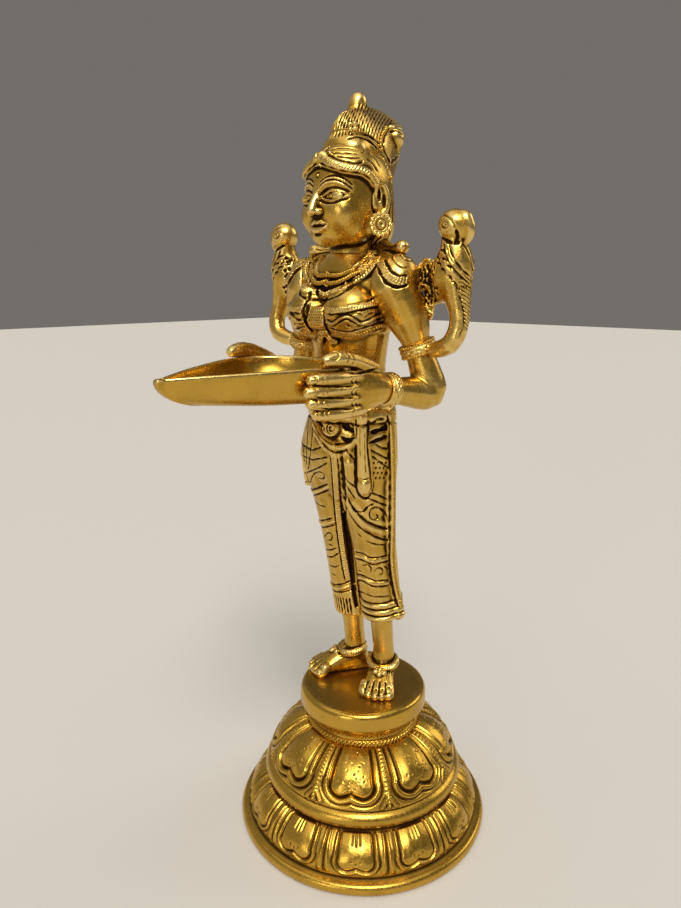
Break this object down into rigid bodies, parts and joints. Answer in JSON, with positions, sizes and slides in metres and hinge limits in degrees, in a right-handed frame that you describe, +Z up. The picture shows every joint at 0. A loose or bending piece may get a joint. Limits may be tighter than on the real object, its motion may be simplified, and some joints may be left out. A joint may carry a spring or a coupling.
{
  "type": "figural oil lamp",
  "caption": "Cast brass standing lady holding a boat-shaped oil lamp dish, parrots at her shoulders, on a round stepped lotus pedestal.",
  "frame": {"origin": "centre of the pedestal's underside, on the surface that the lamp stands on", "axes": "+Z up along the pedestal axis, -Y the way the lady faces and the spout points, +X towards her left hand"},
  "size_m": [0.12, 0.1655, 0.3281],
  "materials": {
    "cast_brass": "hand finished casting with dark patina in the recesses",
    "polished_brass": "polished",
    "dark_brass": "chased and darkened",
    "plain_brass": "turned"
  },
  "bodies": {
    "root": {"foot_tier": "cast_brass", "upper_tier": "cast_brass", "rope_collar": "dark_brass", "standing_pad": "polished_brass", "foot_studs": "plain_brass", "stud_washers": "plain_brass", "stud_nuts": "plain_brass", "draped_legs": "cast_brass", "torso": "cast_brass", "head": "cast_brass", "topknot": "cast_brass", "left_earring": "dark_brass", "right_earring": "dark_brass", "left_upper_arm": "cast_brass", "right_upper_arm": "cast_brass", "left_forearm": "cast_brass", "right_forearm": "cast_brass", "left_hand": "cast_brass", "right_hand": "cast_brass", "left_armlet": "dark_brass", "right_armlet": "dark_brass", "left_bangle": "dark_brass", "right_bangle": "dark_brass", "left_parrot": "cast_brass", "right_parrot": "cast_brass", "lamp_dish": "polished_brass"}
  },
  "joints": []
}
